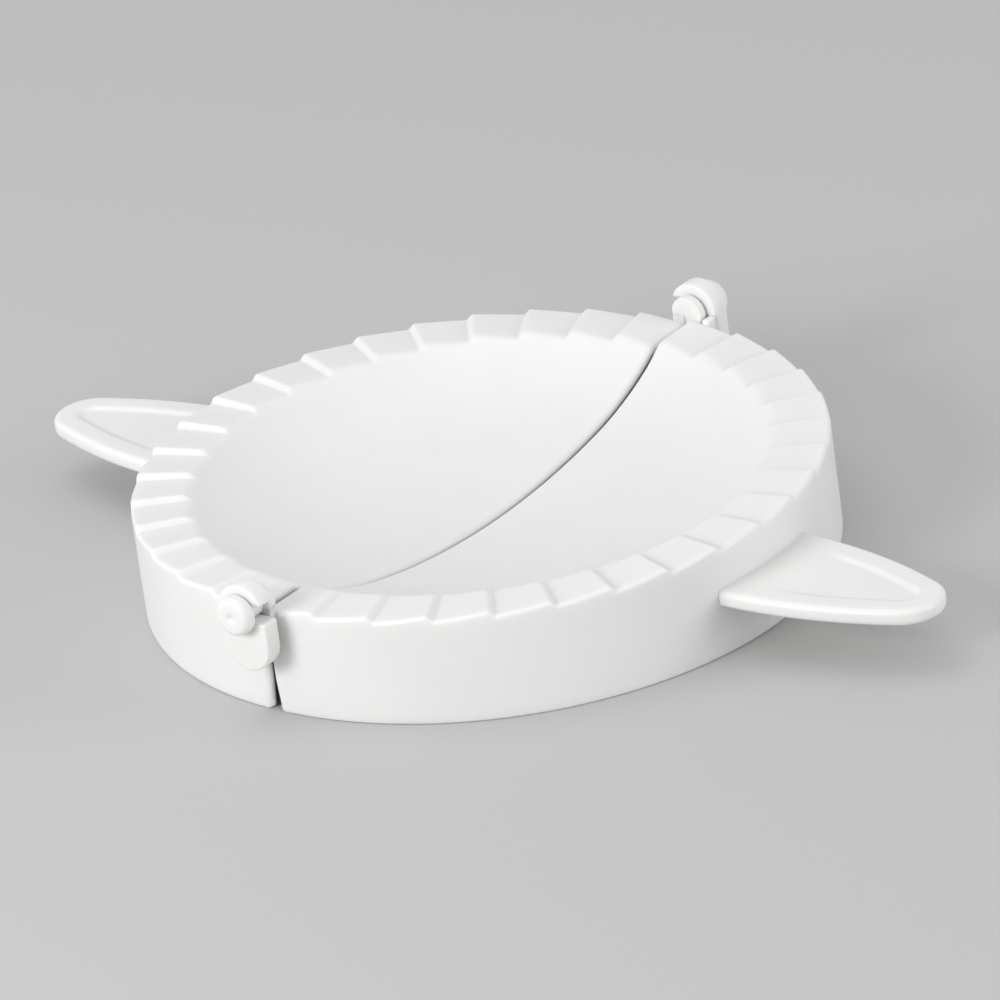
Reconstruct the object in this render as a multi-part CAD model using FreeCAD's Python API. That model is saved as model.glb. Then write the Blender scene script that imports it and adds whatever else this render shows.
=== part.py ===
import FreeCAD, Part

import math
import os

# An empanada press of white moulded plastic, lying open and flat as it is stored and filled.
# It is two copies of one moulding. Each is half of a round dish with a pleated rim, a plain skirt
# to stand on and a flat handle. At one end of the parting edge an ear snaps over a headed pin
# that is moulded on the other half, and at the other end ear and pin change places.
#
# Millimetres, +Z up. The origin is on the table, under the middle of the dish.
# The hinge runs along Y, just above the rim. The handles point along +X and -X.

# Skirt, rim and wall
rim_radius = 77.5
rim_height = 24.2
wall = 2.0
parting_gap = 0.9
slit_height = 8.0
slit_flare = 0.7

# Dish
rim_width = 13.0
side_width = 24.5
dish_depth = 13.9
floor_rise = 4.3
lip_under_radius = 0.6

# Pleats around the rim
pleats_per_half = 18
pleat_width = 15.0
pleat_rise = 1.6
pleat_foot = 0.2
pleat_root = 1.2
pleat_shoulder_width = 3.2
pleat_outer_chamfer = 0.7
pleat_crest_chamfer = 0.35

# Hinge pin, on the near end of the +X half
dough_gap = 3.6
side_clearance = 0.4
quadrant_clearance = 0.6
boss_radius = 4.0
boss_length = 1.3
boss_drop = 8.0
pin_radius = 2.5
head_radius = 4.5
head_length = 3.2
head_chamfer = 1.3
head_dimple_radius = 1.3
head_dimple_depth = 0.6

# Hinge ear, on the far end of the +X half
ear_radius = 6.2
ear_thickness = 4.4
ear_drop = 8.0
ear_edge_chamfer = 0.7
pin_clearance = 0.05
mouth_width = 4.2

# Handle
handle_reach = 45.9
handle_root_half_width = 15.9
handle_tip_radius = 8.7
handle_height = 13.5
handle_edge_thickness = 3.8
handle_edge_chamfer = 0.9
handle_border = 5.6
pocket_root_gap = 12.5
pocket_corner = 2.4
pocket_web = 2.0

# How far a cutting shape runs past what it cuts
overrun = 5.0

# Two points nearer than this are one point
same_point = 0.001

half_turn = 180.0
quarter_turn = 90.0
half_share = 0.5

wall_middle_radius = rim_radius - wall * half_share
root_start = wall_middle_radius - wall
half_gap = parting_gap * half_share
floor_height = rim_height - dish_depth
floor_radius = rim_radius - rim_width - side_width
floor_arc_radius = (floor_radius ** 2 + floor_rise ** 2) * half_share / floor_rise
lip_radius = lip_under_radius + wall
pleat_inner_radius = rim_radius - pleat_width
crest_height = rim_height + pleat_foot + pleat_rise
# Shut, the pleats of one half mesh with the other's, with the dough between them
pleat_middle_height = rim_height + pleat_foot + pleat_rise * half_share
hinge_height = pleat_middle_height + dough_gap * half_share
boss_start = rim_radius + side_clearance
boss_face = boss_start + boss_length
ear_start = boss_face + side_clearance
ear_end = ear_start + ear_thickness
head_start = ear_end + side_clearance
head_end = head_start + head_length
eye_radius = pin_radius + pin_clearance

X_AXIS = FreeCAD.Vector(1, 0, 0)
Y_AXIS = FreeCAD.Vector(0, 1, 0)
Z_AXIS = FreeCAD.Vector(0, 0, 1)
ORIGIN = FreeCAD.Vector(0, 0, 0)


def in_section(x, z):
    """A point of the XZ plane, in which the dish and the hinge have their sections."""
    return FreeCAD.Vector(x, 0, z)


def line(start, end):
    return Part.LineSegment(start, end).toShape()


def at_angle(centre, radius, angle):
    """The point of the XZ plane at a distance and an angle, in degrees from +X towards +Z."""
    turn = math.radians(angle)
    return centre + in_section(radius * math.cos(turn), radius * math.sin(turn))


def arc(centre, radius, start_angle, end_angle):
    middle_angle = (start_angle + end_angle) * half_share
    points = [at_angle(centre, radius, angle) for angle in (start_angle, middle_angle, end_angle)]
    return Part.Arc(*points).toShape()


def outline(points):
    """A run of straight lines through points."""
    return [line(start, end) for start, end in zip(points, points[1:])]


def angle_from(centre, point):
    """The direction of a point from a centre in the XZ plane, in degrees."""
    return math.degrees(math.atan2(point.z - centre.z, point.x - centre.x))


def half_revolved(edges):
    """Turns a closed section through the half circle on the +X side of the half's own middle."""
    face = Part.Face(Part.Wire(edges))
    face.rotate(ORIGIN, Z_AXIS, -quarter_turn)
    return face.revolve(ORIGIN, Z_AXIS, half_turn)


def dish_arcs():
    """The floor, side and lip of the dish's upper face: a centre, a radius and two angles for each.

    A shallow floor runs into a steeper side, and a rounded lip turns that into the rim. Each arc
    is tangent to the next, which settles the radius of the side.
    """
    floor_centre = in_section(0, floor_height + floor_arc_radius)
    floor_edge = in_section(floor_radius, floor_height + floor_rise)
    inwards = (floor_centre - floor_edge) * (1 / floor_arc_radius)
    lip_centre = in_section(rim_radius - rim_width, rim_height - lip_radius)
    across = floor_edge - lip_centre
    room = lip_radius - across.dot(inwards)
    side_arc_radius = (across.dot(across) - lip_radius ** 2) * half_share / room
    side_centre = floor_edge + inwards * side_arc_radius
    floor_end = angle_from(floor_centre, floor_edge)
    side_end = angle_from(side_centre, lip_centre)
    return [
        (floor_centre, floor_arc_radius, -quarter_turn, floor_end),
        (side_centre, side_arc_radius, floor_end, side_end),
        (lip_centre, lip_radius, side_end + half_turn, quarter_turn),
    ]


def facet_corner(centre, radius, start, end):
    """Where the two tangents at the ends of an arc meet, one wall below the arc."""
    half_span = (end - start) * half_share
    reach = (radius + wall) / math.cos(math.radians(half_span))
    return at_angle(centre, reach, start + half_span)


def shell():
    """Half of the dish with its rim and skirt, open underneath.

    Underneath, straight facets keep at least one wall below the floor and the side.
    """
    floor, side, lip = dish_arcs()
    lip_start = lip[0].x
    rim_under = rim_height - wall
    corners = [
        in_section(lip_start, rim_height),
        in_section(rim_radius, rim_height),
        in_section(rim_radius, 0),
        in_section(rim_radius - wall, 0),
        in_section(rim_radius - wall, rim_under),
        in_section(lip_start, rim_under),
        facet_corner(*side),
        facet_corner(*floor),
        in_section(0, floor_height - wall),
        in_section(0, floor_height),
    ]
    return half_revolved([arc(*floor), arc(*side), arc(*lip)] + outline(corners))


def pleat_envelope():
    """The room that the pleats fill, sloped off towards the dish and at the outside of the rim."""
    low = rim_height - pleat_root
    corners = [
        in_section(pleat_inner_radius, low),
        in_section(pleat_inner_radius + pleat_shoulder_width, crest_height),
        in_section(rim_radius - pleat_outer_chamfer, crest_height),
        in_section(rim_radius, crest_height - pleat_outer_chamfer),
        in_section(rim_radius, low),
    ]
    return half_revolved(outline(corners + corners[:1]))


def flat_face(corners):
    return Part.Face(Part.makePolygon(corners + corners[:1]))


def pleat_block(start_angle, end_angle):
    """One pleat before it is trimmed: a flat top that rises from its first edge to its last.

    The top is one plane, so the step at the last edge is lower towards the dish.
    """
    low = rim_height - pleat_root
    foot = rim_height + pleat_foot
    start_turn, end_turn = math.radians(start_angle), math.radians(end_angle)
    start = FreeCAD.Vector(math.cos(start_turn), math.sin(start_turn), 0)
    end = FreeCAD.Vector(math.cos(end_turn), math.sin(end_turn), 0)
    sections = []
    for radius in (pleat_inner_radius - overrun, rim_radius + overrun):
        crest = foot + pleat_rise * radius / rim_radius
        sections.append([start * radius + Z_AXIS * low, end * radius + Z_AXIS * low,
                         end * radius + Z_AXIS * crest, start * radius + Z_AXIS * foot])
    inner, outer = sections
    faces = [flat_face(inner[::-1]), flat_face(outer)]
    for first in range(len(inner)):
        second = (first + 1) % len(inner)
        faces.append(flat_face([inner[first], inner[second], outer[second], outer[first]]))
    block = Part.Solid(Part.Shell(faces))
    crest_edges = [edge for edge in block.Edges if edge.BoundBox.ZMin > foot + same_point]
    return block.makeChamfer(pleat_crest_chamfer, crest_edges)


def pleats():
    """The pleats of one half. Each rises anticlockwise and ends in a step with a bevelled edge."""
    pitch = half_turn / pleats_per_half
    envelope = pleat_envelope()
    found = []
    for count in range(pleats_per_half):
        start_angle = -quarter_turn + pitch * count
        found.append(pleat_block(start_angle, start_angle + pitch).common(envelope))
    return found


def slit():
    """The wedge that opens the gap between the halves towards the table."""
    top = in_section(0, slit_height)
    foot = in_section(slit_flare, 0)
    below = in_section(slit_flare, -overrun)
    back = in_section(-overrun, -overrun)
    beside = in_section(-overrun, slit_height)
    wedge = Part.Face(Part.Wire(outline([top, foot, below, back, beside, top])))
    wedge = wedge.extrude(Y_AXIS * (rim_radius + rim_radius))
    wedge.translate(Y_AXIS * -rim_radius)
    return wedge


def round_bar(radius, start, end):
    """A round bar about the hinge axis between two distances from the middle."""
    return Part.makeCylinder(radius, end - start, FreeCAD.Vector(0, start, hinge_height), Y_AXIS)


def tongue(radius, drop, start, end):
    """A plate that is round about the hinge axis and hangs down to a round end."""
    top = in_section(0, hinge_height)
    foot = in_section(0, hinge_height - drop)
    side = in_section(radius, 0)
    border = Part.Wire([
        arc(top, radius, 0, half_turn),
        line(top - side, foot - side),
        arc(foot, radius, half_turn, half_turn + half_turn),
        line(foot + side, top + side),
    ])
    plate = Part.Face(border).extrude(Y_AXIS * (end - start))
    plate.translate(Y_AXIS * start)
    return plate


def own_quadrant():
    """The space below the hinge axis on this half's side, which no part of the other half enters."""
    size = rim_radius + ear_radius + overrun
    far = head_end + overrun
    corner = in_section(quadrant_clearance, -quadrant_clearance)
    return Part.makeBox(size, far, hinge_height, corner)


def edges_across(solid, distance):
    """The edges of a plate that lie in the plane at one distance along the hinge."""
    return [edge for edge in solid.Edges
            if all(abs(vertex.Point.y - distance) < same_point for vertex in edge.Vertexes)]


def ear():
    """The ear with its eye and snap mouth, and the root that carries it on the skirt."""
    plate = tongue(ear_radius, ear_drop, ear_start, ear_end)
    rims = edges_across(plate, ear_start) + edges_across(plate, ear_end)
    plate = plate.makeChamfer(ear_edge_chamfer, rims)
    eye = round_bar(eye_radius, ear_start - overrun, ear_end + overrun)
    mouth_length = ear_radius + overrun
    mouth_depth = ear_thickness + overrun + overrun
    mouth_low = hinge_height - mouth_width * half_share
    corner = FreeCAD.Vector(-mouth_length, ear_start - overrun, mouth_low)
    mouth = Part.makeBox(mouth_length, mouth_depth, mouth_width, corner)
    root = tongue(ear_radius, ear_drop, root_start, ear_start + ear_edge_chamfer)
    room_for_boss = round_bar(boss_radius + side_clearance, root_start, ear_start)
    root = root.common(own_quadrant()).cut(room_for_boss)
    return plate.fuse(root).cut(eye.fuse(mouth))


def pin():
    """The boss, pin and head, and the root that carries them on the skirt, at the far end."""
    root = tongue(boss_radius, boss_drop, root_start, boss_face).common(own_quadrant())
    boss = round_bar(boss_radius, boss_start, boss_face)
    shaft = round_bar(pin_radius, boss_face - boss_length, head_start + head_chamfer)
    head = round_bar(head_radius, head_start, head_end)
    head = head.makeChamfer(head_chamfer, edges_across(head, head_end))
    dimple = round_bar(head_dimple_radius, head_end - head_dimple_depth, head_end + overrun)
    return root.multiFuse([boss, shaft, head]).cut(dimple)


def handle_outline(inset):
    """The handle seen from above, less an inset: a round tip, and sides that bow out to it.

    Each side is an arc that starts square to the skirt and meets the tip arc tangentially.
    """
    root = wall_middle_radius
    half_width = handle_root_half_width - inset
    tip_radius = handle_tip_radius - inset
    tip_centre = rim_radius + handle_reach - handle_tip_radius
    run = tip_centre - root
    spread = run ** 2 + half_width ** 2 - tip_radius ** 2
    side_radius = spread * half_share / (half_width - tip_radius)
    side_drop = side_radius - half_width
    lean = math.atan2(side_drop, run)
    tip_turn = FreeCAD.Vector(math.cos(lean), math.sin(lean), 0)
    meeting = X_AXIS * tip_centre + tip_turn * tip_radius
    half_lean = (lean + math.radians(quarter_turn)) * half_share
    middle = FreeCAD.Vector(root + side_radius * math.cos(half_lean),
                            side_radius * math.sin(half_lean) - side_drop, 0)
    start = FreeCAD.Vector(root, half_width, 0)
    tip = FreeCAD.Vector(tip_centre + tip_radius, 0, 0)
    mirrored = [FreeCAD.Vector(point.x, -point.y, 0) for point in (start, middle, meeting)]
    return Part.Wire([
        Part.Arc(start, middle, meeting).toShape(),
        Part.Arc(meeting, tip, mirrored[2]).toShape(),
        Part.Arc(mirrored[2], mirrored[1], mirrored[0]).toShape(),
        line(mirrored[0], start),
    ])


def handle_plate(inset, low, high):
    plate = Part.Face(handle_outline(inset)).extrude(Z_AXIS * (high - low))
    plate.translate(Z_AXIS * low)
    return plate


def handle_pocket(low, high):
    """The shallow pocket in the handle's face: its outline less the border, and clear of the skirt."""
    pocket = handle_plate(handle_border, low, high)
    start = rim_radius + pocket_root_gap
    width = handle_root_half_width + handle_root_half_width
    corner = FreeCAD.Vector(start, -handle_root_half_width, low)
    pocket = pocket.common(Part.makeBox(handle_reach, width, high - low, corner))
    corners = [edge for edge in pocket.Edges
               if edge.BoundBox.ZLength > same_point and abs(edge.BoundBox.XMax - start) < same_point]
    return pocket.makeFillet(pocket_corner, corners)


def handle():
    """A flat leaf with bevelled edges, halfway up the skirt, with a pocket above and below."""
    half_edge = handle_edge_thickness * half_share
    half_web = pocket_web * half_share
    low, high = handle_height - half_edge, handle_height + half_edge
    plate = handle_plate(0, low, high)
    rims = [edge for edge in plate.Edges
            if edge.BoundBox.ZLength < same_point and edge.BoundBox.XLength > same_point]
    plate = plate.makeChamfer(handle_edge_chamfer, rims)
    above = handle_pocket(handle_height + half_web, high + overrun)
    below = handle_pocket(low - overrun, handle_height - half_web)
    return plate.cut(above.fuse(below))


def half():
    """The half on the +X side, with its ear at the far end and its pin at the near end."""
    dish = shell().multiFuse(pleats()).cut(slit())
    near_pin = pin().mirror(ORIGIN, Y_AXIS)
    height = crest_height + overrun + overrun
    inside = Part.makeCylinder(wall_middle_radius, height, Z_AXIS * -overrun)
    dish.translate(X_AXIS * half_gap)
    inside.translate(X_AXIS * half_gap)
    outside = ear().multiFuse([near_pin, handle()]).cut(inside)
    return dish.multiFuse(outside.Solids).removeSplitter()


def main():
    os.makedirs("parts", exist_ok=True)
    right_half = half()
    left_half = right_half.copy()
    left_half.rotate(ORIGIN, Z_AXIS, half_turn)
    for name, shape in (("right_half", right_half), ("left_half", left_half)):
        solids = shape.Solids
        box = shape.BoundBox
        print(name, "solids", len(solids), "valid", shape.isValid(), "volume", round(shape.Volume),
              "size", round(box.XLength, 1), round(box.YLength, 1), round(box.ZLength, 1))
        solids[0].exportStep(f"parts/{name}.step")


main()
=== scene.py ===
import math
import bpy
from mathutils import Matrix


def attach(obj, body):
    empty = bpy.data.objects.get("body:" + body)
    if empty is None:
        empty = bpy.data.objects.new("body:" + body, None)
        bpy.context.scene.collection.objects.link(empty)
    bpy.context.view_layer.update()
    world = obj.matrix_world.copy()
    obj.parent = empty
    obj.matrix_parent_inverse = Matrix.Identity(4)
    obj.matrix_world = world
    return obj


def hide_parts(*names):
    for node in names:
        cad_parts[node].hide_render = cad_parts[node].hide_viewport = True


bl_info = {
    "name": "Empanada Press",
    "version": (1, 0, 0),
    "blender": (4, 5, 0),
    "location": "View3D > Sidebar > Empanada Press",
    "description": "Dresses a moulded plastic empanada press: pleated dish, handles and snap hinge",
    "category": "Object",
}

from functools import partial

import bmesh
import bpy
import numpy as np
from bpy.props import FloatProperty, IntProperty, PointerProperty, StringProperty
from mathutils import Matrix, Vector

# Metres, +Z up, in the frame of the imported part. The hinge runs along Y, the handles along X
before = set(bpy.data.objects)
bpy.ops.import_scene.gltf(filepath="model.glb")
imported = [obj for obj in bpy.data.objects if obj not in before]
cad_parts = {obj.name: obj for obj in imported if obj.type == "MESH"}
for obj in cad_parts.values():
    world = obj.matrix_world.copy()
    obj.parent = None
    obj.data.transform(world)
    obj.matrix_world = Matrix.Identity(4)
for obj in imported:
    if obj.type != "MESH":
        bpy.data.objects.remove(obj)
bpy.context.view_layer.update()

PI = math.pi
HALVES = {"right": 0.0, "left": PI}

# Columns of the dish's mesh: over the rounding of a parting face, in shares of its width
PARTING_SHARES = np.array([0.0, 0.06, 0.17, 0.33, 0.55, 0.8, 1.0])
# Past and before a pleat's step, in metres, and between two steps, in shares of the way
AFTER_STEP = np.array([0.0, 0.0002, 0.0008])
BEFORE_STEP = np.array([-0.0027, -0.0021, -0.0017, -0.0015, -0.0012, -0.0009, -0.0006, -0.0003])
BETWEEN_STEPS = np.array([0.2, 0.4, 0.6, 0.75])
# Columns begin to gather at the steps at this radius, and have gathered this far beyond it
GATHER_START, GATHER_RUN = 0.050, 0.011
# Where the round rows end towards the middle, and the side of the half square inside them
CORE_RADIUS, SQUARE_SIDE = 0.020, 0.010
# How far from the parting face its lean at the table fades out
LEAN_RUN = 0.005

# A bend that counts as a corner, and the room its arc gets in radii
SHARP_BEND, CORNER_ROOM, CORNER_POINTS = math.radians(25), 2.2, 5
# Corners of the ear and of the hinge's roots, and how deep in the skirt the roots start
EAR_CORNER, ROOT_CORNER, ROOT_DEPTH = 0.0006, 0.0005, 0.0008
# How deep in the skirt the pin's boss starts, and how far its root stops short of the boss's
# face, so that two faces don't lie in one plane
BOSS_DEPTH, BOSS_STEP = 0.0005, 0.0001
# A bend of the mesh that is shaded as an edge
SHARP_EDGE = math.radians(40)

# Turn from the camera's side and climb in degrees, distance and size in metres, power in watts
LAMPS = (
    ("Key lamp", -52, 24, 1.2, 0.45, 7.4),
    ("Fill lamp", 68, 14, 1.3, 0.5, 4.2),
    ("Top lamp", -120, 70, 1.2, 0.8, 2.2),
)
LAMP_AIM = Vector((0, 0, 0.01))
CAMERA_AIM = Vector((0.0018, 0.0028, 0.0145))
WORLD_COLOUR, WORLD_STRENGTH = "#F4F5F6", 0.72
FLOOR_HALF = 3.0

# A number that is a length in metres
LengthProperty = partial(FloatProperty, unit="LENGTH")


class DishSizes(bpy.types.PropertyGroup):
    rim_radius: LengthProperty(
        name="Rim Radius", description="Outer radius of the rim and the skirt", default=0.0775)
    rim_height: LengthProperty(
        name="Rim Height", description="Height of the flat rim under the pleats", default=0.0242)
    wall: LengthProperty(
        name="Wall", description="Thickness of the moulded wall", default=0.002)
    half_gap: LengthProperty(
        name="Half Gap", description="Half of the gap between the two halves", default=0.00045)
    rim_width: LengthProperty(
        name="Rim Width", description="Width of the rim outside the rounded lip", default=0.013)
    side_width: LengthProperty(
        name="Side Width", description="Width of the dish's steeper side", default=0.0245)
    dish_depth: LengthProperty(
        name="Dish Depth", description="Depth of the dish under the rim", default=0.0139)
    floor_rise: LengthProperty(
        name="Floor Rise", description="Rise of the shallow floor up to the side", default=0.0043)
    lip_under_radius: LengthProperty(
        name="Lip Under Radius", description="Radius under the lip, one wall below its face",
        default=0.0006)
    outer_round: LengthProperty(
        name="Outer Round", description="Rounding of the rim's outer edge", default=0.0009)
    inner_round: LengthProperty(
        name="Inner Round", description="Fillet between the rim and the skirt inside",
        default=0.0008)
    foot_round: LengthProperty(
        name="Foot Round", description="Rounding of the skirt's foot", default=0.0006)
    parting_round: LengthProperty(
        name="Parting Round", description="Depth of the rounding above the parting face",
        default=0.0013)
    parting_under: LengthProperty(
        name="Parting Under", description="Depth of the rounding under the parting face",
        default=0.0005)
    parting_run: LengthProperty(
        name="Parting Run", description="Width of the rounding along the parting face",
        default=0.0017)
    slit_height: LengthProperty(
        name="Slit Height", description="Height up to which the parting faces lean apart",
        default=0.008)
    slit_flare: LengthProperty(
        name="Slit Flare", description="How far each parting face leans back at the table",
        default=0.0007)


class PleatSizes(bpy.types.PropertyGroup):
    count: IntProperty(
        name="Count", description="Pleats on each half", default=18)
    width: LengthProperty(
        name="Width", description="Length of a pleat along the radius", default=0.015)
    rise: LengthProperty(
        name="Rise", description="Height of a pleat's step at the rim's edge", default=0.0016)
    foot: LengthProperty(
        name="Foot", description="Height of a pleat's low end over the rim", default=0.0002)
    root: LengthProperty(
        name="Root", description="Depth under the rim where the shoulder starts", default=0.0012)
    shoulder_width: LengthProperty(
        name="Shoulder Width", description="Width of the slope towards the dish", default=0.0032)
    draft: LengthProperty(
        name="Draft", description="How far a step leans over its height", default=0.0015)
    softness: FloatProperty(
        name="Softness", description="Rounding of a step's crest, as a share of its height",
        default=0.4, subtype="FACTOR")
    blend: LengthProperty(
        name="Blend", description="Rounding between a pleat and its shoulder", default=0.0016)


class HandleSizes(bpy.types.PropertyGroup):
    reach: LengthProperty(
        name="Reach", description="How far the tip stands out from the skirt", default=0.0459)
    root_half_width: LengthProperty(
        name="Root Half Width", description="Half of the width at the skirt", default=0.0159)
    tip_radius: LengthProperty(
        name="Tip Radius", description="Radius of the round tip", default=0.0087)
    height: LengthProperty(
        name="Height", description="Height of the handle's middle plane", default=0.0135)
    half_thickness: LengthProperty(
        name="Half Thickness", description="Half of the thickness at the border", default=0.0019)
    half_web: LengthProperty(
        name="Half Web", description="Half of the thickness in the pocket", default=0.00125)
    edge_round: LengthProperty(
        name="Edge Round", description="Rounding of the handle's edge", default=0.0013)
    border: LengthProperty(
        name="Border", description="Width of the border around the pocket", default=0.0056)
    pocket_gap: LengthProperty(
        name="Pocket Gap", description="Distance from the skirt to the start of the pocket",
        default=0.008)
    pocket_ramp: LengthProperty(
        name="Pocket Ramp", description="Length over which the pocket deepens", default=0.009)
    pocket_slope: LengthProperty(
        name="Pocket Slope", description="Width of the pocket's rounded wall", default=0.0019)
    root_fillet: LengthProperty(
        name="Root Fillet", description="Fillet where the handle meets the skirt", default=0.0012)


class HingeSizes(bpy.types.PropertyGroup):
    height: LengthProperty(
        name="Height", description="Height of the hinge axis", default=0.027)
    ear_radius: LengthProperty(
        name="Ear Radius", description="Radius of the ear about the axis", default=0.0062)
    ear_start: LengthProperty(
        name="Ear Start", description="Inner face of the ear, from the middle", default=0.0796)
    ear_thickness: LengthProperty(
        name="Ear Thickness", description="Thickness of the ear", default=0.0044)
    edge_round: LengthProperty(
        name="Edge Round", description="Rounding of the ear's and the roots' edges",
        default=0.00045)
    drop: LengthProperty(
        name="Drop", description="How far the ear hangs down below the axis", default=0.008)
    eye_radius: LengthProperty(
        name="Eye Radius", description="Radius of the ear's eye", default=0.00255)
    mouth: LengthProperty(
        name="Mouth", description="Width of the ear's snap mouth", default=0.0042)
    clearance: LengthProperty(
        name="Clearance", description="Room between the parts of the hinge", default=0.0004)
    quadrant: LengthProperty(
        name="Quadrant Clearance", description="Room between a root and the axis planes",
        default=0.0006)
    boss_radius: LengthProperty(
        name="Boss Radius", description="Radius of the boss that carries the pin", default=0.004)
    boss_face: LengthProperty(
        name="Boss Face", description="Outer face of the boss, from the middle", default=0.0792)
    pin_radius: LengthProperty(
        name="Pin Radius", description="Radius of the pin", default=0.0025)
    head_radius: LengthProperty(
        name="Head Radius", description="Radius of the pin's head", default=0.0045)
    head_start: LengthProperty(
        name="Head Start", description="Inner face of the head, from the middle", default=0.0844)
    head_length: LengthProperty(
        name="Head Length", description="Length of the head", default=0.0032)
    head_round: LengthProperty(
        name="Head Round", description="Rounding of the head's outer edge", default=0.0015)
    dimple_radius: LengthProperty(
        name="Dimple Radius", description="Radius of the dimple in the head", default=0.0013)


class Colours(bpy.types.PropertyGroup):
    plastic: StringProperty(
        name="Plastic", description="sRGB colour of the white polypropylene", default="#E9E9E7")
    floor: StringProperty(
        name="Floor", description="sRGB colour of the floor", default="#C0C0BF")


class View(bpy.types.PropertyGroup):
    azimuth: FloatProperty(
        name="Azimuth", description="Turn of the camera about the press",
        default=math.radians(41.2), subtype="ANGLE")
    elevation: FloatProperty(
        name="Elevation", description="Height of the camera above the horizon",
        default=math.radians(25.3), subtype="ANGLE")
    roll: FloatProperty(
        name="Roll", description="Turn of the camera about its own line of sight",
        default=math.radians(-8.0), subtype="ANGLE")
    distance: LengthProperty(
        name="Distance", description="Distance of the camera from the press", default=2.2)
    lens: FloatProperty(
        name="Lens", description="Focal length in millimetres on a 36 mm sensor", default=358.0)


def linear(hex_colour):
    """An sRGB hex colour as linear RGBA."""
    values = [int(hex_colour[i:i + 2], 16) / 255 for i in (1, 3, 5)]
    return [v / 12.92 if v <= 0.04045 else ((v + 0.055) / 1.055) ** 2.4 for v in values] + [1.0]


def add_node(tree, kind, inputs=None, settings=None):
    """Adds a node with its settings, inputs and links, and returns its outputs."""
    node = tree.nodes.new(kind)
    for name, value in (settings or {}).items():
        setattr(node, name, value)
    for key, value in (inputs or {}).items():
        if isinstance(value, bpy.types.NodeSocket):
            tree.links.new(value, node.inputs[key])
        else:
            node.inputs[key].default_value = value
    return node.outputs


def new_material(name):
    """A material with an empty node tree."""
    material = bpy.data.materials.new(name)
    material.use_nodes = True
    material.node_tree.nodes.clear()
    return material


def plastic_material():
    """White polypropylene, moulded in a satin tool: soft sheen and a hint of translucence."""
    name = "White polypropylene, satin moulded"
    found = bpy.data.materials.get(name)
    if found:
        return found
    colour = linear(bpy.context.scene.press_colours.plastic)
    material = new_material(name)
    tree = material.node_tree
    place = add_node(tree, "ShaderNodeTexCoord")["Object"]
    # The tool's spark-eroded grain is 0.05 mm across and 0.01 mm high, drawn 0.45 mm across so
    # that it shows
    grain_size, grain_height = 0.00045, 0.00001
    grain = add_node(tree, "ShaderNodeTexNoise",
                     {"Vector": place, "Scale": 1 / grain_size, "Detail": 2.0, "Roughness": 0.5})
    # Slow waves where the wall shrank as it cooled, about 14 mm long and 0.12 mm high
    wave_length, wave_height = 0.014, 0.00012
    waves = add_node(tree, "ShaderNodeTexNoise",
                     {"Vector": place, "Scale": 1 / wave_length, "Detail": 1.0, "Roughness": 0.4})
    # Patches of about 9 mm where handling has polished or dulled the satin
    patch_size = 0.009
    patches = add_node(tree, "ShaderNodeTexNoise",
                       {"Vector": place, "Scale": 1 / patch_size, "Detail": 3.0, "Roughness": 0.55})
    roughness = add_node(tree, "ShaderNodeMapRange",
                         {"Value": patches["Fac"], "From Min": 0.3, "From Max": 0.7,
                          "To Min": 0.34, "To Max": 0.44})
    tint = add_node(tree, "ShaderNodeMapRange",
                    {"Value": waves["Fac"], "From Min": 0.3, "From Max": 0.7,
                     "To Min": 0.985, "To Max": 1.0})
    shade = add_node(tree, "ShaderNodeVectorMath",
                     {0: colour[:3], "Scale": tint["Result"]}, {"operation": "SCALE"})
    wave_bump = add_node(tree, "ShaderNodeBump",
                         {"Strength": 0.5, "Distance": wave_height, "Height": waves["Fac"]})
    grain_bump = add_node(tree, "ShaderNodeBump",
                          {"Strength": 0.25, "Distance": grain_height, "Height": grain["Fac"],
                           "Normal": wave_bump["Normal"]})
    shader = add_node(tree, "ShaderNodeBsdfPrincipled",
                      {"Base Color": shade["Vector"], "Roughness": roughness["Result"],
                       "Normal": grain_bump["Normal"], "IOR": 1.49, "Subsurface Weight": 0.35,
                       "Subsurface Scale": 0.0025, "Subsurface Radius": (1.4, 1.3, 1.2)})
    add_node(tree, "ShaderNodeOutputMaterial", {"Surface": shader["BSDF"]})
    return material


def floor_material():
    """A matt painted board: pale, even and without sheen."""
    colour = linear(bpy.context.scene.press_colours.floor)
    material = new_material("Matt painted board")
    tree = material.node_tree
    place = add_node(tree, "ShaderNodeTexCoord")["Object"]
    # Roller marks of about 30 mm, just enough to keep the board from looking flat
    mark_size = 0.03
    marks = add_node(tree, "ShaderNodeTexNoise",
                     {"Vector": place, "Scale": 1 / mark_size, "Detail": 2.0})
    roughness = add_node(tree, "ShaderNodeMapRange",
                         {"Value": marks["Fac"], "To Min": 0.75, "To Max": 0.85})
    shader = add_node(tree, "ShaderNodeBsdfPrincipled",
                      {"Base Color": colour, "Roughness": roughness["Result"],
                       "Specular IOR Level": 0.2})
    add_node(tree, "ShaderNodeOutputMaterial", {"Surface": shader["BSDF"]})
    return material


def finish_mesh(mesh, sharp_angle=PI):
    """Closes the seams, turns the faces outwards and shades all but the sharp edges smooth."""
    work = bmesh.new()
    work.from_mesh(mesh)
    bmesh.ops.remove_doubles(work, verts=work.verts, dist=1e-6)
    bmesh.ops.dissolve_degenerate(work, edges=work.edges, dist=1e-7)
    bmesh.ops.recalc_face_normals(work, faces=work.faces)
    work.normal_update()
    for face in work.faces:
        face.smooth = True
    for edge in work.edges:
        edge.smooth = edge.calc_face_angle(0.0) <= sharp_angle
    work.to_mesh(mesh)
    work.free()
    mesh.update()


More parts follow.
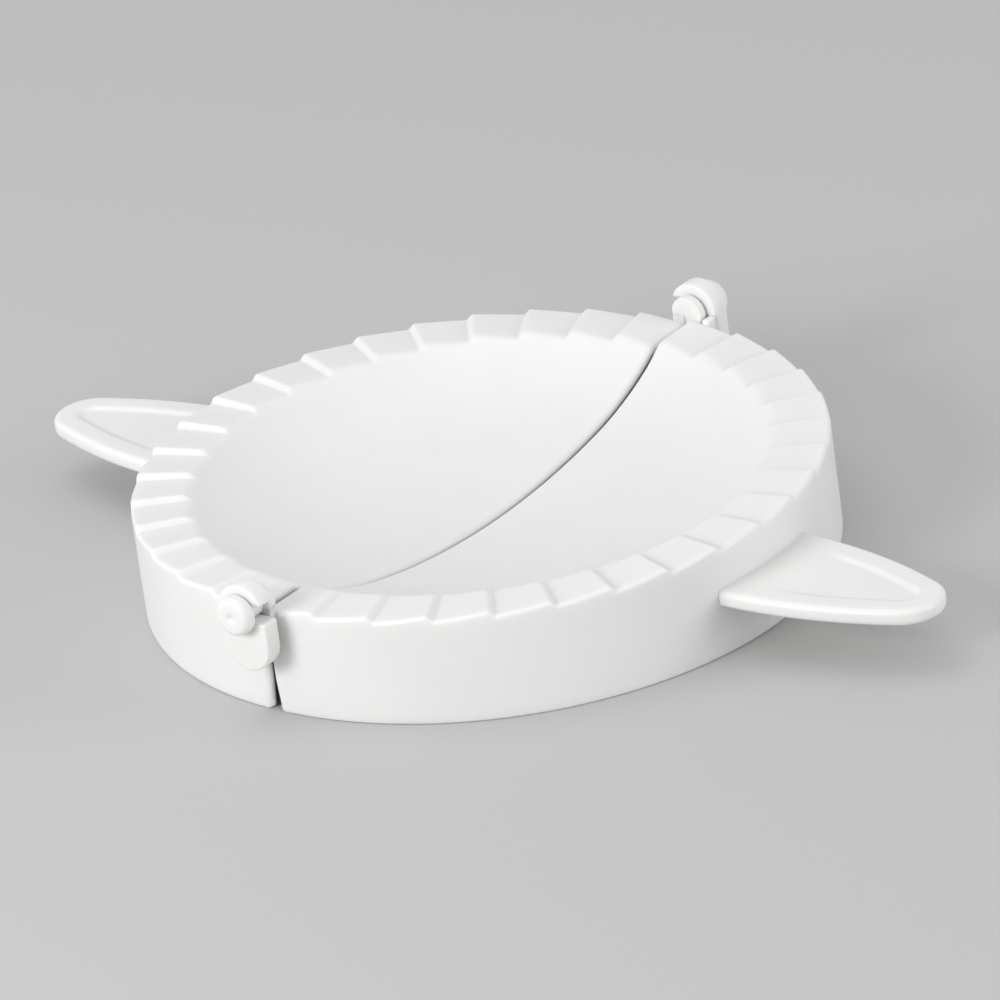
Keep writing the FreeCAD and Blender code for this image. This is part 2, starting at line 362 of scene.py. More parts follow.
def new_mesh(points, faces, material, sharp_angle=PI):
    """A mesh with closed seams, faces that point outwards and one material."""
    mesh = bpy.data.meshes.new("made")
    mesh.from_pydata([tuple(point) for point in points], [], faces)
    mesh.materials.append(material)
    finish_mesh(mesh, sharp_angle)
    return mesh


def new_object(name, data):
    """An object in the scene, whose data has its name."""
    data.name = name
    thing = bpy.data.objects.new(name, data)
    bpy.context.scene.collection.objects.link(thing)
    return thing


def dress(piece, side):
    """The piece rides on its half and stands for the half's CAD node, which is hidden."""
    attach(piece, f"{side}_half")
    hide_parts(f"{side}_half")


def make_pair(kind, mesh):
    """One piece for each half, made from the mesh of the +X one."""
    for side, turn in HALVES.items():
        own = mesh.copy()
        own.transform(Matrix.Rotation(turn, 4, "Z"))
        own.update()
        dress(new_object(f"{side}_{kind}", own), side)
    bpy.data.meshes.remove(mesh)


def grid_faces(index):
    """Quads between the neighbours of an array of vertex numbers."""
    a, b, c, d = index[:-1, :-1], index[1:, :-1], index[1:, 1:], index[:-1, 1:]
    return np.stack([a, b, c, d], -1).reshape(-1, 4).tolist()


def ring_faces(rings, count):
    """Quads between closed rings that have as many vertices each."""
    index = np.arange(rings * count).reshape(rings, count)
    return grid_faces(np.concatenate([index, index[:, :1]], 1))


def strip_faces(first, second):
    """Quads between two runs of vertex numbers."""
    return grid_faces(np.stack([first, second]))


def arc_points(centre, radius, start, end, count):
    """Points on an arc of the section, and the directions away from its centre."""
    turns = np.linspace(start, end, count)
    away = np.stack([np.cos(turns), np.sin(turns)], -1)
    return np.array(centre) + away * radius, away


def smooth_step(share):
    """A share from 0 to 1, eased at both ends."""
    return share * share * (3 - 2 * share)


def skirt_x(dish, y):
    """How far out the skirt stands at a distance to the side."""
    return np.sqrt(dish.rim_radius ** 2 - y ** 2)


def dish_arcs(dish):
    """The floor, side and lip of the upper face, each a centre, a radius and two angles."""
    floor_height = dish.rim_height - dish.dish_depth
    floor_radius = dish.rim_radius - dish.rim_width - dish.side_width
    floor_arc = (floor_radius ** 2 + dish.floor_rise ** 2) / 2 / dish.floor_rise
    lip_radius = dish.lip_under_radius + dish.wall
    floor_centre = np.array([0.0, floor_height + floor_arc])
    floor_edge = np.array([floor_radius, floor_height + dish.floor_rise])
    inwards = (floor_centre - floor_edge) / floor_arc
    lip_centre = np.array([dish.rim_radius - dish.rim_width, dish.rim_height - lip_radius])
    across = floor_edge - lip_centre
    side_arc = (across @ across - lip_radius ** 2) / 2 / (lip_radius - across @ inwards)
    side_centre = floor_edge + inwards * side_arc
    floor_end = math.atan2(*(floor_edge - floor_centre)[::-1])
    side_end = math.atan2(*(lip_centre - side_centre)[::-1])
    return ((floor_centre, floor_arc, -PI / 2, floor_end),
            (side_centre, side_arc, floor_end, side_end),
            (lip_centre, lip_radius, side_end + PI, PI / 2))


def dish_section(dish):
    """Matched points of the upper and the under face from the core out to the foot.

    Each row has the upper point with the way into the wall, the same for the under point, how
    much a pleat lifts the upper point, and the height it has on the plain dish.
    """
    wall, radius, height = dish.wall, dish.rim_radius, dish.rim_height
    rows = []

    def add(upper, into_upper, under, into_under, lift, level=None):
        lift = np.broadcast_to(lift, len(upper))
        for n in range(len(upper)):
            at = upper[n][1] if level is None else level
            rows.append(((upper[n], into_upper[n]), (under[n], into_under[n]), lift[n], at))

    # Floor, side and lip. The wall is outside the first two arcs and inside the lip's
    floor, side, lip = dish_arcs(dish)
    core_turn = -PI / 2 + math.asin(CORE_RADIUS / floor[1])
    arcs = ((*floor[:2], core_turn, floor[3], 9, 1), (*side, 15, 1), (*lip, 11, -1))
    for centre, arc, start, end, count, way in arcs:
        upper, away = arc_points(centre, arc, start, end, count)
        under = centre + away * (arc + way * wall)
        into = away * way
        add(upper[:-1], into, under, -into, 1)
    # Rim, close together on the pleats' shoulder
    lip_start, rim_end = lip[0][0], radius - dish.outer_round
    share = np.array([0, 0.03, 0.06, 0.1, 0.14, 0.18, 0.23, 0.3, 0.4, 0.52, 0.64, 0.76, 0.88, 0.96])
    flat = np.full(len(share), height)
    upper = np.stack([lip_start + (rim_end - lip_start) * share, flat], -1)
    under_end = radius - wall - dish.inner_round
    under = np.stack([lip_start + (under_end - lip_start) * share, flat - wall], -1)
    down = np.tile([0.0, -1.0], (len(share), 1))
    add(upper, down, under, -down, 1)
    # Outer edge, with the fillet inside
    upper, away = arc_points((rim_end, height - dish.outer_round), dish.outer_round, PI / 2, 0, 8)
    inner_centre = (under_end, height - wall - dish.inner_round)
    under, under_away = arc_points(inner_centre, dish.inner_round, PI / 2, 0, 8)
    add(upper, -away, under, under_away, 1, height)
    # Skirt. The lift fades out over its upper 60 %
    share = np.array([0.03, 0.08, 0.16, 0.28, 0.42, 0.56, 0.7, 0.82, 0.92])
    foot = dish.foot_round
    drop = height - dish.outer_round - foot
    upper = np.stack([np.full(len(share), radius), foot + drop * (1 - share)], -1)
    under_drop = height - wall - dish.inner_round - foot
    under = np.stack([np.full(len(share), radius - wall), foot + under_drop * (1 - share)], -1)
    inwards = np.tile([-1.0, 0.0], (len(share), 1))
    add(upper, inwards, under, -inwards, np.clip(1 - share / 0.6, 0, 1), height)
    # Foot
    upper, away = arc_points((radius - foot, foot), foot, 0, -PI / 2, 6)
    under, under_away = arc_points((radius - wall + foot, foot), foot, PI, PI * 1.5, 6)
    add(upper, -away, under, -under_away, 0, height)
    return rows


def column_turns(dish, pleat, radius, spread):
    """The turn of each column about the middle, from one parting face to the other.

    The first and last columns keep a fixed distance from the parting face. Between them the
    columns are even at a spread of 0, and at 1 they gather at the pleats' steps.
    """
    run = dish.parting_run
    pitch = PI / pleat.count
    gathered = []
    for step in range(pleat.count):
        start = -PI / 2 + pitch * step
        gathered += [*(start + AFTER_STEP / dish.rim_radius), *(start + pitch * BETWEEN_STEPS),
                     *(start + pitch + BEFORE_STEP / dish.rim_radius)]
    # Kept clear of the columns that stand at the parting faces
    free = run * 1.5 / dish.rim_radius
    gathered = np.array([turn for turn in gathered if abs(abs(turn) - PI / 2) > free])
    even = np.linspace(-PI / 2, PI / 2, len(gathered) + 2)[1:-1]
    inner = gathered * spread + even * (1 - spread)
    limit = PI / 2 - math.asin(run * 1.4 / radius)
    inner = inner * min(1.0, limit / abs(inner).max())
    ends = np.arcsin(PARTING_SHARES * run / radius)
    return np.concatenate([-PI / 2 + ends, inner, (PI / 2 - ends)[::-1]])


def edge_fall(depth, run, distance):
    """How far a surface falls back at a distance from an edge that is rounded over a run."""
    short = np.clip(1 - np.asarray(distance) / run, 0, 1)
    return depth * (1 - np.sqrt(1 - short ** 2))


def floor_points(dish, xy, thickness, rise):
    """Points of the dish's floor, a thickness under its face and then raised."""
    centre, arc = dish_arcs(dish)[0][:2]
    height = centre[1] - np.sqrt((arc + thickness) ** 2 - (xy ** 2).sum(-1)) + rise
    return np.concatenate([xy, height[..., None]], -1)


def dish_arrays(dish, pleat):
    """Vertices, faces and the two values per vertex that the pleats need, for the +X half."""
    rows = dish_section(dish)
    columns = len(column_turns(dish, pleat, CORE_RADIUS, 0.0))
    near = PARTING_SHARES * dish.parting_run
    # The middle of the dish is a half square whose lines run along the parting face. Its path
    # goes round three sides and has one point for each column
    across = (columns - 1) // 4
    along = columns - 1 - 2 * across
    xs = np.concatenate([near, np.linspace(near[-1], SQUARE_SIDE, across - len(near) + 2)[1:]])
    ys = np.linspace(-SQUARE_SIDE, SQUARE_SIDE, along + 1)
    path = np.concatenate([np.stack([xs, np.full(len(xs), -SQUARE_SIDE)], -1)[:-1],
                           np.stack([np.full(len(ys), SQUARE_SIDE), ys], -1)[:-1],
                           np.stack([xs[::-1], np.full(len(xs), SQUARE_SIDE)], -1)])
    points, lifts, levels = [], [], []

    def add_block(block, lift=0.0, level=0.0):
        start = len(points)
        points.extend(block.reshape(-1, 3))
        lifts.extend(np.broadcast_to(lift, block.shape[:-1]).ravel())
        levels.extend(np.broadcast_to(level, block.shape[:-1]).ravel())
        return np.arange(start, len(points)).reshape(block.shape[:-1])

    layers, faces = [], []
    for layer, depth in enumerate((dish.parting_round, dish.parting_under)):
        # The rounding lowers the upper face and raises the under one
        thickness, upwards = ((0.0, -1), (dish.wall, 1))[layer]
        inset = np.zeros(columns)
        inset[:len(near)] = edge_fall(depth, dish.parting_run, near)
        inset[-len(near):] = inset[:len(near)][::-1]
        ring = np.zeros((len(rows), columns, 3))
        for n, row in enumerate(rows):
            point, into = row[layer]
            spread = smooth_step(np.clip((point[0] - GATHER_START) / GATHER_RUN, 0, 1))
            turn = column_turns(dish, pleat, point[0], spread)
            reach = point[0] + into[0] * inset
            ring[n] = np.stack([reach * np.cos(turn), reach * np.sin(turn),
                                point[1] + into[1] * inset], -1)
        lift = np.array([[0.0 if layer else row[2]] for row in rows])
        rim = add_block(ring, lift, np.array([[row[3]] for row in rows]))
        scale = rows[0][layer][0][0] / rows[0][0][0][0]
        between = add_block(np.array([
            floor_points(dish, path * scale * (1 - share) + ring[0, :, :2] * share, thickness,
                         upwards * inset)
            for share in np.linspace(0, 1, 7)[:-1]]))
        square_xy = np.stack(np.meshgrid(xs, ys, indexing="ij"), -1) * scale
        fall = edge_fall(depth, dish.parting_run, xs)[:, None]
        square = add_block(floor_points(dish, square_xy, thickness, upwards * fall))
        layers.append((rim, np.concatenate([between, rim[:1]]), square))
        for block in layers[-1]:
            faces += grid_faces(block)
    (upper, upper_middle, upper_square), (under, under_middle, under_square) = layers
    for column in (0, -1):
        faces += strip_faces(upper[:, column], under[:, column])
        faces += strip_faces(upper_middle[:, column], under_middle[:, column])
    faces += strip_faces(upper_square[0], under_square[0]) + strip_faces(upper[-1], under[-1])
    # The parting faces lean apart towards the table
    points = np.array(points)
    low = np.clip(1 - points[:, 2] / dish.slit_height, 0, 1)
    points[:, 0] += dish.slit_flare * low * np.clip(1 - points[:, 0] / LEAN_RUN, 0, 1)
    return points, faces, np.array(lifts), np.array(levels)


def pleat_tree(material):
    """The rule of the pleats: a sawtooth around the rim, sloped off towards the dish.

    Each pleat rises evenly with the turn and falls back in one leaning step. Its height grows
    with the distance from the middle, so the steps fade towards the dish.
    """
    tree = bpy.data.node_groups.new("Rim pleats", "GeometryNodeTree")
    tree.interface.new_socket("Geometry", in_out="OUTPUT", socket_type="NodeSocketGeometry")
    tree.interface.new_socket("Geometry", in_out="INPUT", socket_type="NodeSocketGeometry")
    for name in ("Pitch", "Rise", "Foot", "Rim Radius", "Rim Height", "Root", "Shoulder Start",
                 "Shoulder Width", "Draft", "Softness", "Blend"):
        tree.interface.new_socket(name, in_out="INPUT", socket_type="NodeSocketFloat")
    given = add_node(tree, "NodeGroupInput")
    position = add_node(tree, "GeometryNodeInputPosition")["Position"]
    apart = add_node(tree, "ShaderNodeSeparateXYZ", {0: position})
    flat = add_node(tree, "ShaderNodeCombineXYZ", {"X": apart["X"], "Y": apart["Y"]})[0]
    found = {"x": apart["X"], "y": apart["Y"], **{socket.name: socket for socket in given}}
    found["reach"] = add_node(tree, "ShaderNodeVectorMath", {0: flat},
                              {"operation": "LENGTH"})["Value"]
    for name in ("lift", "level"):
        found[name] = add_node(tree, "GeometryNodeInputNamedAttribute", {"Name": name},
                               {"data_type": "FLOAT"})["Attribute"]
    # Each step has its name, its operation and its inputs, which are numbers or earlier names
    steps = (
        ("turn", "ARCTAN2", "y", "x"),
        # The last pleat ends at the parting face without a step, so its fall is kept high
        ("inside", "MINIMUM", "turn", PI / 2 - 1e-5),
        ("from start", "ADD", "inside", PI / 2),
        ("count", "DIVIDE", "from start", "Pitch"),
        ("share", "FRACT", "count"),
        ("left over", "SUBTRACT", 1.0, "share"),
        ("arc", "MULTIPLY", "Pitch", "reach"),
        ("to step", "MULTIPLY", "left over", "arc"),
        ("fall", "DIVIDE", "to step", "Draft"),
        ("half pitch", "MULTIPLY", "Pitch", 0.5),
        ("last start", "SUBTRACT", PI / 2, "half pitch"),
        ("is last", "GREATER_THAN", "turn", "last start"),
        ("fall kept", "MULTIPLY_ADD", "is last", 10.0, "fall"),
        ("saw", "SMOOTH_MIN", "share", "fall kept", "Softness"),
        ("growth", "DIVIDE", "reach", "Rim Radius"),
        ("rise here", "MULTIPLY", "Rise", "growth"),
        ("top", "MULTIPLY_ADD", "rise here", "saw", "Foot"),
        # Shoulder: a slope from under the lip up to the highest crest
        ("from shoulder", "SUBTRACT", "reach", "Shoulder Start"),
        ("up", "ADD", "Root", "Foot"),
        ("whole up", "ADD", "up", "Rise"),
        ("slope", "DIVIDE", "whole up", "Shoulder Width"),
        ("raised", "MULTIPLY", "from shoulder", "slope"),
        ("shoulder", "SUBTRACT", "raised", "Root"),
        ("trimmed", "SMOOTH_MIN", "top", "shoulder", "Blend"),
        # The plain dish shows where it is higher than the pleats
        ("plain", "SUBTRACT", "level", "Rim Height"),
        ("joined", "SMOOTH_MAX", "trimmed", "plain", "Blend"),
        ("change", "SUBTRACT", "joined", "plain"),
        ("weighted", "MULTIPLY", "change", "lift"),
    )
    for name, operation, *inputs in steps:
        values = {n: found.get(value, value) for n, value in enumerate(inputs)}
        found[name] = add_node(tree, "ShaderNodeMath", values, {"operation": operation})[0]
    offset = add_node(tree, "ShaderNodeCombineXYZ", {"Z": found["weighted"]})[0]
    moved = add_node(tree, "GeometryNodeSetPosition",
                     {"Geometry": given["Geometry"], "Offset": offset})[0]
    real = add_node(tree, "GeometryNodeRealizeInstances", {"Geometry": moved})[0]
    painted = add_node(tree, "GeometryNodeSetMaterial",
                       {"Geometry": real, "Material": material})[0]
    add_node(tree, "NodeGroupOutput", {0: painted})
    return tree


def pleated_dish(dish, pleat):
    """The +X half of the dish, with its pleats raised by the tree and then made a plain mesh."""
    points, faces, lifts, levels = dish_arrays(dish, pleat)
    mesh = bpy.data.meshes.new("plain_dish")
    mesh.from_pydata(points.tolist(), [], faces)
    for name, values in (("lift", lifts), ("level", levels)):
        attribute = mesh.attributes.new(name, "FLOAT", "POINT")
        attribute.data.foreach_set("value", values.astype(np.float32))
    plain = new_object("plain_dish", mesh)
    tree = pleat_tree(plastic_material())
    modifier = plain.modifiers.new("Pleats", "NODES")
    modifier.node_group = tree
    values = {
        "Pitch": PI / pleat.count, "Rise": pleat.rise, "Foot": pleat.foot,
        "Rim Radius": dish.rim_radius, "Rim Height": dish.rim_height, "Root": pleat.root,
        "Shoulder Start": dish.rim_radius - pleat.width, "Shoulder Width": pleat.shoulder_width,
        "Draft": pleat.draft, "Softness": pleat.softness, "Blend": pleat.blend,
    }
    for item in tree.interface.items_tree:
        if item.in_out == "INPUT" and item.name in values:
            modifier[item.identifier] = values[item.name]
    bpy.context.view_layer.update()
    evaluated = plain.evaluated_get(bpy.context.evaluated_depsgraph_get())
    made = bpy.data.meshes.new_from_object(evaluated)
    plain.modifiers.clear()
    bpy.data.objects.remove(plain)
    bpy.data.meshes.remove(mesh)
    for name in ("lift", "level"):
        made.attributes.remove(made.attributes[name])
    made.transform(Matrix.Translation((dish.half_gap, 0, 0)))
    finish_mesh(made)
    return made


def handle_edge(dish, handle, inset):
    """The +Y side of the handle's outline from above, less an inset: an arc, then the round tip.

    Returns the arc's points from the skirt on, then the tip's middle, radius and start angle.
    """
    root = dish.rim_radius - dish.wall / 2
    half_width = handle.root_half_width - inset
    tip = handle.tip_radius - inset
    tip_centre = dish.rim_radius + handle.reach - handle.tip_radius
    run = tip_centre - root
    side_arc = (run ** 2 + half_width ** 2 - tip ** 2) / 2 / (half_width - tip)
    drop = side_arc - half_width
    lean = math.atan2(drop, run)
    # Close together, because handle_ring takes its points from the lines between them
    return arc_points((root, -drop), side_arc, PI / 2, lean, 400)[0], tip_centre, tip, lean


def handle_ring(dish, handle, inset, stations):
    """Points of one inset outline at the stations, from the skirt to the tip on the +Y side."""
    side, tip_centre, tip, lean = handle_edge(dish, handle, inset)
    gap = handle.pocket_gap
    # Distances from the skirt change into plain X towards the pocket
    plain_x = side[:, 0] - dish.rim_radius
    mix = np.clip(plain_x / gap, 0, 1)
    coordinate = (side[:, 0] - skirt_x(dish, side[:, 1])) * (1 - mix) + plain_x * mix
    wanted = np.concatenate([stations["root"], stations["bridge"] * gap, gap + stations["wall"]])
    beyond = np.linspace(wanted[-1], coordinate[-1], stations["body"] + 1)[1:]
    wanted = np.concatenate([wanted, beyond])
    run = np.stack([np.interp(wanted, coordinate, line) for line in side.T], -1)
    round_tip = arc_points((tip_centre, 0.0), tip, lean, 0, stations["tip"] + 1)[0][1:]
    return np.concatenate([run, round_tip])


def handle_arrays(dish, handle):
    """The +X handle: rings from its edge to its middle line, above and below."""
    fillet, rounding, border = handle.root_fillet, handle.edge_round, handle.border
    # Places along the handle: two inside the skirt's wall, then the fillet, the bridge up to the
    # pocket and the pocket's ramp. After them come the counts for the body and the tip
    fillet_shares = np.array([0.0, 0.04, 0.12, 0.24, 0.4, 0.58, 0.78, 1.0])
    stations = {
        "root": np.concatenate([[-0.0012, -0.0004], fillet * fillet_shares]),
        "bridge": np.array([0.25, 0.45, 0.65, 0.82]),
        "wall": handle.pocket_ramp * np.linspace(0, 1, 9),
        "body": 24,
        "tip": 22,
    }
    # Insets of the rings: the rounded edge, two on the flat border, and the pocket's wall, which
    # begins a share of its width outside the border's line
    outside = 0.35
    insets = np.concatenate([rounding * (1 - np.cos(np.linspace(0, PI / 2, 8))),
                             [rounding + 0.001, (rounding + border) / 2 + 0.0005],
                             border + handle.pocket_slope * np.linspace(-outside, 0.75, 9)])
    rings = [handle_ring(dish, handle, inset, stations) for inset in insets]
    spare = [np.full(len(ring), inset) for ring, inset in zip(rings, insets)]
    # From the innermost ring to the middle line
    last = rings[-1]
    tip_centre = dish.rim_radius + handle.reach - handle.tip_radius
    middle = np.stack([np.minimum(last[:, 0], tip_centre), np.zeros(len(last))], -1)
    count = len(stations["root"])
    for share in (0.18, 0.4, 0.7, 1.0):
        ring = last * (1 - share) + middle * share
        ring[:count, 0] = skirt_x(dish, ring[:count, 1]) + stations["root"]
        rings.append(ring)
        spare.append(insets[-1] + np.abs(last[:, 1] - ring[:, 1]))
    rings, spare = np.array(rings), np.array(spare)
    short = np.clip(rounding - spare, 0, rounding)
    height = handle.half_thickness - rounding + np.sqrt(rounding ** 2 - short ** 2)
    # The pocket has a rounded wall along the border, and runs out towards the skirt
    side = np.clip((spare - border) / handle.pocket_slope + outside, 0, 1)
    past_gap = rings[:, :, 0] - dish.rim_radius - handle.pocket_gap
    out = np.clip(past_gap / handle.pocket_ramp, 0, 1)
    height -= (handle.half_thickness - handle.half_web) * smooth_step(side) * smooth_step(out)
    upper = np.dstack([rings, height])
    # The fillet at the skirt pushes the surface out along its own slope
    away = upper[:, :, 0] - skirt_x(dish, upper[:, :, 1])
    push = edge_fall(fillet, fillet, np.maximum(away, 0))
    lean = np.arccos(np.clip(1 - spare / rounding, 0, 1))
    upper[:, :, 2] += push * np.sin(lean)
    upper[:, :, 1] += push * np.cos(lean)
    # The other side of the middle line, from the tip back to the skirt
    mirrored = upper[:, ::-1] * np.array([1, -1, 1])
    upper = np.concatenate([upper, mirrored[:, 1:]], 1)
    under = upper * np.array([1, 1, -1])
    points = np.concatenate([upper.reshape(-1, 3), under.reshape(-1, 3)])
    points[:, 2] += handle.height
    top = np.arange(len(points) // 2).reshape(upper.shape[:2])
    bottom = top + len(points) // 2
    faces = grid_faces(top) + grid_faces(bottom) + strip_faces(top[0], bottom[0])
    faces += strip_faces(top[:, 0], bottom[:, 0]) + strip_faces(top[:, -1], bottom[:, -1])
    return points, faces


def loop_inset(loop, distance):
    """A closed anticlockwise loop moved inwards."""
    def unit(rows):
        return rows / np.linalg.norm(rows, axis=1)[:, None]

    ahead = unit(np.roll(loop, -1, 0) - loop)
    along = unit(ahead + unit(loop - np.roll(loop, 1, 0)))
    inwards = np.stack([-along[:, 1], along[:, 0]], -1)
    # A corner moves further than a straight line, but no more than twice as far
    stretch = 1 / np.maximum((along * ahead).sum(1), 0.5)
    return loop + inwards * (distance * stretch)[:, None]


def rounded_loop(corners, radius):
    """A closed loop whose sharp corners are replaced by short arcs.

    Points of a curve that lie too near a sharp corner make room for its arc.
    """
    corners = np.array(corners)
    ahead = np.roll(corners, -1, 0) - corners
    behind = corners - np.roll(corners, 1, 0)
    bends = np.arctan2(*ahead.T[::-1]) - np.arctan2(*behind.T[::-1])
    sharp = np.abs(np.angle(np.exp(1j * bends))) > SHARP_BEND
    gaps = np.linalg.norm(corners[:, None] - corners[sharp][None], axis=-1).min(1)
    corners = corners[sharp | (gaps > radius * CORNER_ROOM)]
    found = []
    for n, here in enumerate(corners):
        back, on = corners[n - 1] - here, corners[(n + 1) % len(corners)] - here
        room = min(np.linalg.norm(back), np.linalg.norm(on))
        back, on = back / np.linalg.norm(back), on / np.linalg.norm(on)
        bend = PI - math.acos(np.clip(back @ on, -1, 1))
        if bend < SHARP_BEND:
            found.append(here)
            continue
        # An arc that takes less than half of the shorter line beside it
        cut = min(radius * math.tan(bend / 2), room * 0.45)
        middle = back + on
        to_centre = cut / math.sin(bend / 2)
        centre = here + middle / np.linalg.norm(middle) * to_centre
        start, end = here + back * cut - centre, here + on * cut - centre
        turn = math.atan2(start[0] * end[1] - start[1] * end[0], start @ end)
        first = math.atan2(start[1], start[0])
        arc = arc_points(centre, np.linalg.norm(start), first, first + turn, CORNER_POINTS)[0]
        found.extend(arc)
    return np.array(found)


def plate_arrays(loop, start, end, rounding, round_end=True):
    """A plate with an outline in the XZ plane, between two distances along Y, with round rims."""
    rim = [(1 - math.sin(turn), 1 - math.cos(turn)) for turn in np.linspace(0, PI / 2, 6)]
    levels = [(inset * rounding, start + depth * rounding) for inset, depth in rim]
    if round_end:
        levels += [(inset * rounding, end - depth * rounding) for inset, depth in rim[::-1]]
    else:
        levels.append((0.0, end))
    points = []
    for inset, level in levels:
        ring = loop_inset(loop, inset) if inset > 1e-9 else loop
        points += [(x, level, z) for x, z in ring]
    faces = ring_faces(len(levels), len(loop))
    numbers = list(range(len(points)))
    return points, faces + [numbers[:len(loop)], numbers[-len(loop):]]


def root_corners(hinge, radius, count):
    """A root's outline, in its own quadrant about the axis: round below, upright above."""
    foot = (0.0, hinge.height - hinge.drop)
    start = -math.acos(hinge.quadrant / radius)
    return [*arc_points(foot, radius, start, 0, count)[0], (radius, hinge.height - hinge.quadrant)]


def joined_arrays(first, second):
    """Points and faces of two closed bodies in one mesh."""
    (points, faces), (more_points, more_faces) = first, second
    shift = len(points)
    return points + more_points, faces + [[n + shift for n in face] for face in more_faces]


def ear_arrays(dish, hinge):
    """The +X half's ear, at the far end: a round plate with eye and snap mouth, and its root."""
    axis, foot = (0.0, hinge.height), (0.0, hinge.height - hinge.drop)
    radius, eye, half_mouth = hinge.ear_radius, hinge.eye_radius, hinge.mouth / 2
    outer_end = PI - math.asin(half_mouth / radius)
    eye_end = PI - math.asin(half_mouth / eye)
    corners = [*arc_points(foot, radius, PI, PI * 2, 33)[0],
               *arc_points(axis, radius, 0, outer_end, 40)[0],
               *arc_points(axis, eye, eye_end, -eye_end, 44)[0],
               (-radius, hinge.height - half_mouth)]
    end = hinge.ear_start + hinge.ear_thickness
    ear = plate_arrays(rounded_loop(corners, EAR_CORNER), hinge.ear_start, end, hinge.edge_round)
    # The root, with a round recess for the boss. It ends inside the ear
    recess, side = hinge.boss_radius + hinge.clearance, hinge.quadrant
    corners = root_corners(hinge, radius, 18)
    corners.extend(arc_points(axis, recess, -math.asin(side / recess),
                              -math.acos(side / recess), 20)[0])
    root = plate_arrays(rounded_loop(corners, ROOT_CORNER), dish.rim_radius - ROOT_DEPTH,
                        hinge.ear_start + hinge.edge_round, hinge.edge_round, round_end=False)
    return joined_arrays(ear, root)


def turned_arrays(profile, height, sides=64):
    """A profile of (radius, distance along -Y) turned about the hinge axis."""
    radius, along = np.array(profile).T[..., None]
    turns = 2 * PI * np.arange(sides) / sides
    points = np.stack([radius * np.cos(turns), -along * np.ones(sides),
                       height + radius * np.sin(turns)], -1)
    return points.reshape(-1, 3).tolist(), ring_faces(len(profile), sides)


def pin_arrays(dish, hinge):
    """The +X half's pin, at the near end: boss, shaft and domed head, and the root on the skirt."""
    soft, dome = 0.0004, hinge.head_round
    start = dish.rim_radius - BOSS_DEPTH
    end = hinge.head_start + hinge.head_length
    dimple_reach, dimple_depth = hinge.dimple_radius * 1.25, 0.0006
    profile = [
        (0, start), (hinge.boss_radius, start),
        *arc_points((hinge.boss_radius - soft, hinge.boss_face - soft), soft, 0, PI / 2, 5)[0],
        (hinge.pin_radius, hinge.boss_face), (hinge.pin_radius, hinge.head_start),
        *arc_points((hinge.head_radius - soft, hinge.head_start + soft), soft, -PI / 2, 0, 5)[0],
        *arc_points((hinge.head_radius - dome, end - dome), dome, 0, PI / 2, 12)[0],
        *((reach, end - dimple_depth * (1 + math.cos(PI * reach / dimple_reach)) / 2)
          for reach in np.linspace(dimple_reach, 0, 12)),
    ]
    pin = turned_arrays(profile, hinge.height)
    corners = root_corners(hinge, hinge.boss_radius, 16)
    corners.append((hinge.quadrant, hinge.height - hinge.quadrant))
    points, faces = plate_arrays(rounded_loop(corners, ROOT_CORNER), dish.rim_radius - ROOT_DEPTH,
                                 hinge.boss_face - BOSS_STEP, hinge.edge_round)
    return joined_arrays(pin, ([(x, -y, z) for x, y, z in points], faces))


class PRESS_OT_dishes(bpy.types.Operator):
    """Make the two halves of the pleated dish"""
    bl_idname = "press.dishes"
    bl_label = "Make Dish Halves"

    def execute(self, context):
        scene = context.scene
        make_pair("dish", pleated_dish(scene.press_dish, scene.press_pleats))
        return {"FINISHED"}


class PRESS_OT_handles(bpy.types.Operator):
    """Make the two leaf-shaped handles"""
    bl_idname = "press.handles"
    bl_label = "Make Handles"

    def execute(self, context):
        scene = context.scene
        arrays = handle_arrays(scene.press_dish, scene.press_handle)
        make_pair("handle", new_mesh(*arrays, plastic_material()))
        return {"FINISHED"}


class PRESS_OT_ears(bpy.types.Operator):
    """Make the hinge's two ears"""
    bl_idname = "press.ears"
    bl_label = "Make Hinge Ears"

    def execute(self, context):
        scene = context.scene
        arrays = ear_arrays(scene.press_dish, scene.press_hinge)
        make_pair("ear", new_mesh(*arrays, plastic_material(), SHARP_EDGE))
        return {"FINISHED"}


class PRESS_OT_pins(bpy.types.Operator):
    """Make the hinge's two headed pins"""
    bl_idname = "press.pins"
    bl_label = "Make Hinge Pins"

    def execute(self, context):
        scene = context.scene
        arrays = pin_arrays(scene.press_dish, scene.press_hinge)
        make_pair("pin", new_mesh(*arrays, plastic_material(), SHARP_EDGE))
        return {"FINISHED"}


def place_and_aim(name, data, target, turn, climb, distance, roll=0.0):
    """A lamp or camera at a turn and a climb about a target, pointed at it."""
    thing = new_object(name, data)
    back = Vector((math.sin(turn) * math.cos(climb), -math.cos(turn) * math.cos(climb),
                   math.sin(climb)))
    thing.location = target + back * distance
    thing.rotation_mode = "QUATERNION"
    aim = (-back).to_track_quat("-Z", "Y")
    thing.rotation_quaternion = aim @ Matrix.Rotation(roll, 4, "Z").to_quaternion()
    return thing


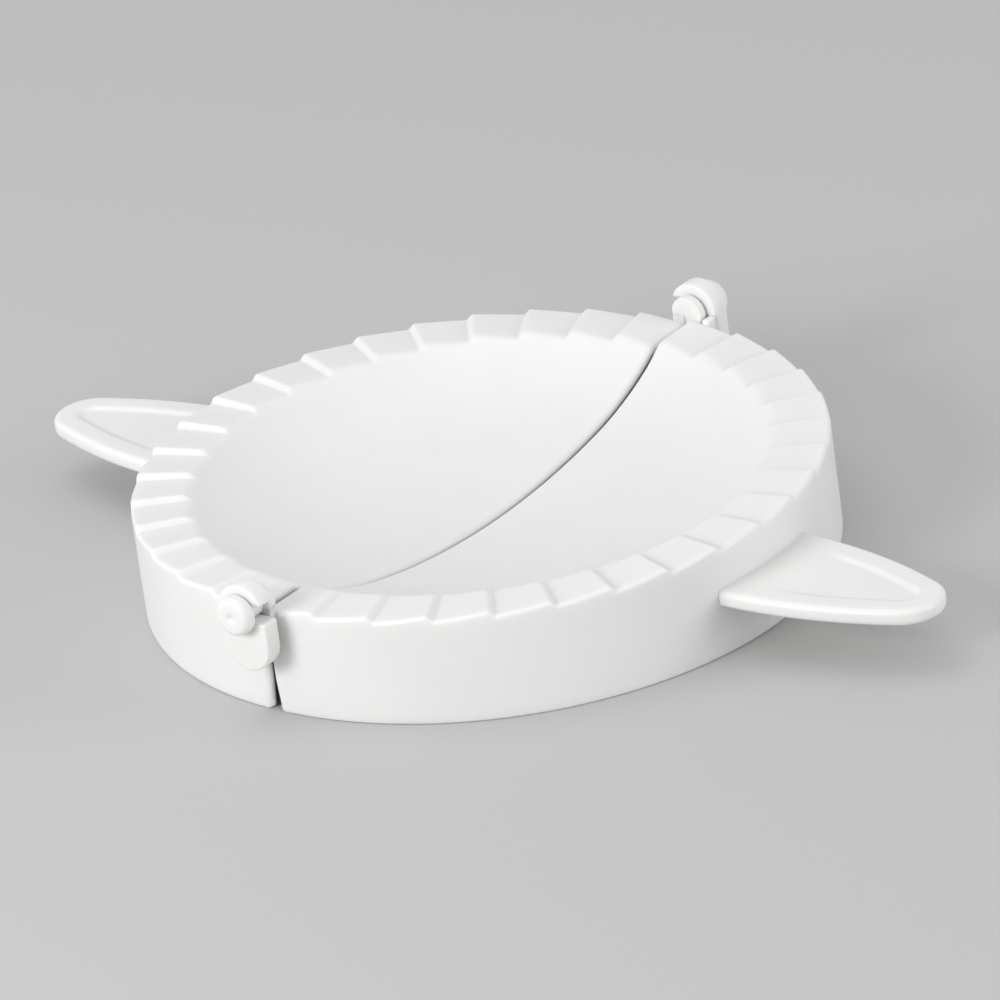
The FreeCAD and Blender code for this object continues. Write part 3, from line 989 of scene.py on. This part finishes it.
class PRESS_OT_stage(bpy.types.Operator):
    """Make the floor, the lamps, the surroundings and the camera"""
    bl_idname = "press.stage"
    bl_label = "Make Stage"

    def execute(self, context):
        scene = context.scene
        view = scene.press_view
        corners = [(x * FLOOR_HALF, y * FLOOR_HALF, 0)
                   for x, y in ((-1, -1), (1, -1), (1, 1), (-1, 1))]
        floor = new_object("floor", new_mesh(corners, [(0, 1, 2, 3)], floor_material()))
        world = bpy.data.worlds.new("Studio")
        world.use_nodes = True
        world.node_tree.nodes.clear()
        light = add_node(world.node_tree, "ShaderNodeBackground",
                         {"Color": linear(WORLD_COLOUR), "Strength": WORLD_STRENGTH})
        add_node(world.node_tree, "ShaderNodeOutputWorld", {"Surface": light[0]})
        scene.world = world
        for name, turn, climb, distance, size, power in LAMPS:
            data = bpy.data.lights.new(name, "AREA")
            data.shape = "SQUARE"
            data.size = size
            data.energy = power
            place_and_aim(name, data, LAMP_AIM, view.azimuth + math.radians(turn),
                          math.radians(climb), distance)
        data = bpy.data.cameras.new("Camera")
        data.sensor_width = 36.0
        data.lens = view.lens
        data.clip_start, data.clip_end = 0.1, 20.0
        scene.camera = place_and_aim("Camera", data, CAMERA_AIM, view.azimuth, view.elevation,
                                     view.distance, view.roll)
        scene.view_settings.view_transform = "Standard"
        return {"FINISHED"}


class PRESS_PT_panel(bpy.types.Panel):
    """Lists the steps that make the press"""
    bl_idname = "PRESS_PT_panel"
    bl_label = "Empanada Press"
    bl_space_type = "VIEW_3D"
    bl_region_type = "UI"
    bl_category = "Empanada Press"

    def draw(self, context):
        for step in STEPS:
            self.layout.operator(step.bl_idname)


SIZES = {
    "press_dish": DishSizes,
    "press_pleats": PleatSizes,
    "press_handle": HandleSizes,
    "press_hinge": HingeSizes,
    "press_colours": Colours,
    "press_view": View,
}
STEPS = (PRESS_OT_dishes, PRESS_OT_handles, PRESS_OT_ears, PRESS_OT_pins, PRESS_OT_stage)
CLASSES = (*SIZES.values(), *STEPS, PRESS_PT_panel)


def register():
    for item in CLASSES:
        bpy.utils.register_class(item)
    for name, group in SIZES.items():
        setattr(bpy.types.Scene, name, PointerProperty(type=group))


def unregister():
    for name in SIZES:
        delattr(bpy.types.Scene, name)
    for item in reversed(CLASSES):
        bpy.utils.unregister_class(item)


def main():
    register()
    bpy.ops.press.dishes()
    bpy.ops.press.handles()
    bpy.ops.press.ears()
    bpy.ops.press.pins()
    bpy.ops.press.stage()


if __name__ == "__main__":
    main()
